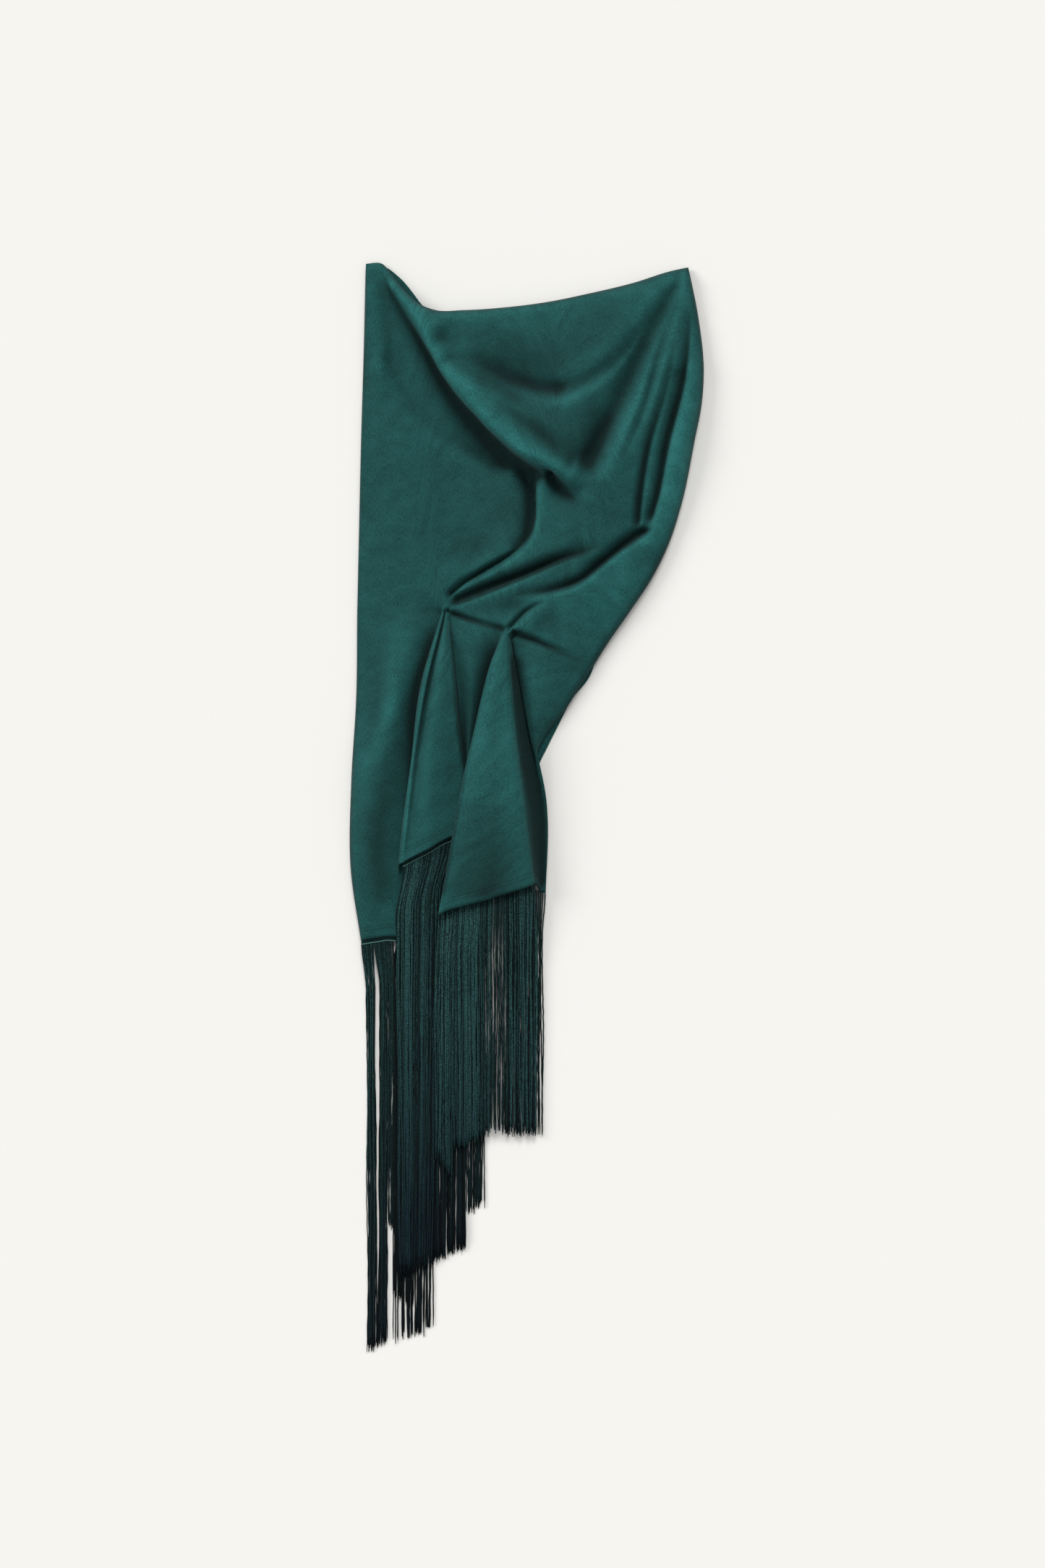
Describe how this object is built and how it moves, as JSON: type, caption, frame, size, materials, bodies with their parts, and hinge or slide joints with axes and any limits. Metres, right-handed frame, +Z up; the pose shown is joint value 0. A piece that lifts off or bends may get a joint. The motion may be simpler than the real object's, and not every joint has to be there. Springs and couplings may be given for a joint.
{
  "type": "scarf",
  "caption": "Long-fringed wool scarf folded in four and laid flat, with swags above two pinches, pleats below them and long strands at the hems.",
  "frame": {"origin": "on the floor under the middle of the folded scarf's bounding box", "axes": "+X to the right and +Y towards the folded top edge as the scarf lies, +Z up from the floor"},
  "size_m": [0.372, 1.1412, 0.0277],
  "materials": {
    "wool": "brushed wool flannel, blue-green",
    "wool_under": "brushed wool flannel, blue-green",
    "wool_fringe": "twisted wool yarn, dark blue-green"
  },
  "bodies": {
    "root": {"front_leaf": "wool", "back_leaf": "wool_under", "fringe_back": "wool_fringe", "fringe_left": "wool_fringe", "fringe_middle": "wool_fringe", "fringe_front": "wool_fringe", "fringe_right": "wool_fringe"}
  },
  "joints": []
}
